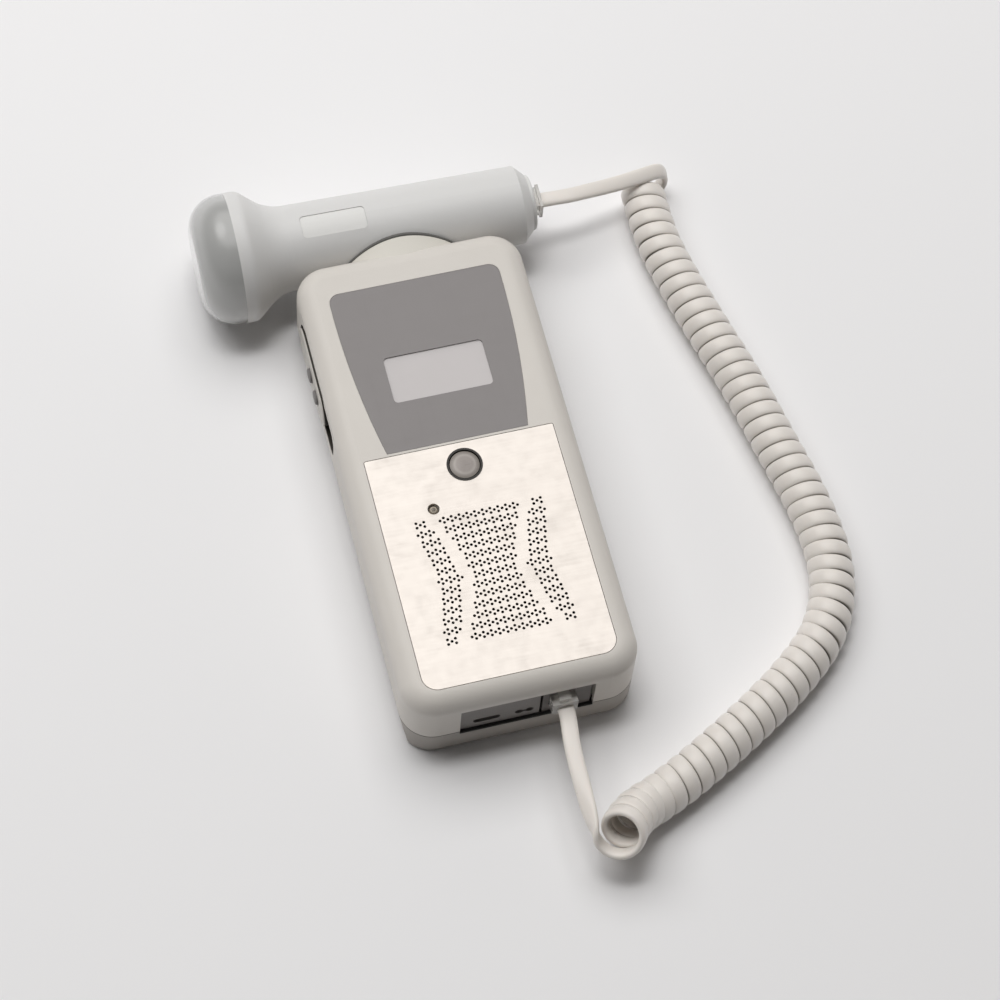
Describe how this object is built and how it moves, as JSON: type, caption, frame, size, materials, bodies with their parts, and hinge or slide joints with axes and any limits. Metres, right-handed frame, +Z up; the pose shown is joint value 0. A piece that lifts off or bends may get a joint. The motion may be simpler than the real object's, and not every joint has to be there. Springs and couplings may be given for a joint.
{
  "type": "fetal doppler monitor",
  "caption": "Handheld fetal heartbeat monitor with display, speaker grille, power and volume keys, and a probe held in a cradle and joined by a curly cord.",
  "frame": {"origin": "middle of the unit's flat back, on the surface that it lies on", "axes": "+Z up, out of the unit's front; +Y along the unit towards the end that carries the probe; +X to the right, seen from the front"},
  "size_m": [0.1728, 0.2339, 0.0411],
  "materials": {
    "case_cream": "fine satin moulded plastic",
    "back_cream": "fine satin moulded plastic",
    "plate_satin": "smooth satin",
    "overlay_grey": "smooth printed film",
    "display_pane": "clear",
    "display_grey": "smooth",
    "button_smoke": "satin",
    "ring_dark": "glossy",
    "lamp_lens": "clear tinted",
    "panel_dark": "fine satin",
    "socket_black": "moulded",
    "board_green": "solder resist",
    "chip_black": "moulded",
    "ribbon_grey": "flat cable",
    "screw_steel": "zinc plated",
    "spring_steel": "nickel plated",
    "speaker_steel": "black",
    "cone_paper": "pressed paper",
    "foam_black": "foam",
    "cell_wrap": "printed wrap",
    "tray_black": "moulded",
    "key_grey": "soft keypad",
    "pad_black": "moulded",
    "cradle_cream": "fine satin",
    "liner_grey": "soft liner",
    "probe_white": "satin gloss",
    "probe_grey": "satin gloss",
    "label_white": "blank paper",
    "crystal_cream": "fired ceramic",
    "backing_grey": "loaded epoxy",
    "plug_clear": "clear",
    "cord_cream": "flat vinyl sheath"
  },
  "bodies": {
    "unit": {"rear_shell": "back_cream", "front_shell": "case_cream", "rating_plate": "overlay_grey", "case_screws": "screw_steel", "board_screws": "screw_steel", "cradle_screws": "screw_steel", "front_overlay": "overlay_grey", "display_window": "display_pane", "display_module": "display_grey", "speaker_plate": "plate_satin", "button_ring": "ring_dark", "button_switch": "socket_black", "status_led": "lamp_lens", "speaker": "speaker_steel", "speaker_cone": "cone_paper", "speaker_gasket": "foam_black", "main_board": "board_green", "board_chips": "chip_black", "jack_board": "board_green", "board_ribbon": "ribbon_grey", "connector_panel": "panel_dark", "panel_seal": "foam_black", "probe_jack": "panel_dark", "charge_socket": "socket_black", "audio_socket": "socket_black", "battery_tray": "tray_black", "battery_1": "cell_wrap", "battery_2": "cell_wrap", "battery_springs": "spring_steel", "battery_terminals": "spring_steel", "key_bezel": "case_cream", "recess_pad": "pad_black", "key_switches": "socket_black", "probe_cradle": "cradle_cream", "cradle_liner": "liner_grey", "unit_plug": "plug_clear", "unit_lead": "cord_cream", "coiled_cord": "cord_cream", "probe_lead": "cord_cream"},
    "power_button": {"power_button": "button_smoke"},
    "volume_up_key": {"volume_up_key": "key_grey"},
    "volume_down_key": {"volume_down_key": "key_grey"},
    "battery_door": {"battery_door": "back_cream"},
    "probe": {"probe_housing": "probe_white", "probe_face_cap": "probe_grey", "probe_end_cap": "probe_white", "probe_socket": "socket_black", "probe_plug": "plug_clear", "probe_label": "label_white", "probe_board": "board_green", "transmit_crystal": "crystal_cream", "receive_crystal": "crystal_cream", "crystal_backing": "backing_grey"}
  },
  "joints": [
    {"name": "power_button_press", "type": "slide", "parent": "unit", "child": "power_button", "axis": [0, 0, -1], "range_m": [0, 0.0008], "stiffness_N_per_m": 500, "springref_m": -0.003},
    {"name": "volume_up_press", "type": "slide", "parent": "unit", "child": "volume_up_key", "axis": [1, 0, 0], "range_m": [0, 0.0008], "stiffness_N_per_m": 500, "springref_m": -0.003},
    {"name": "volume_down_press", "type": "slide", "parent": "unit", "child": "volume_down_key", "axis": [1, 0, 0], "range_m": [0, 0.0008], "stiffness_N_per_m": 500, "springref_m": -0.003},
    {"name": "battery_door_hinge", "type": "hinge", "parent": "unit", "child": "battery_door", "pos_m": [0, 0.0043, 0.001], "axis": [-1, 0, 0], "range_deg": [0, 70]},
    {"name": "probe_lift_off", "type": "slide", "parent": "unit", "child": "probe", "axis": [0, 1, 0], "range_m": [0, 0.04], "deforming": ["coiled_cord", "probe_lead"]}
  ]
}
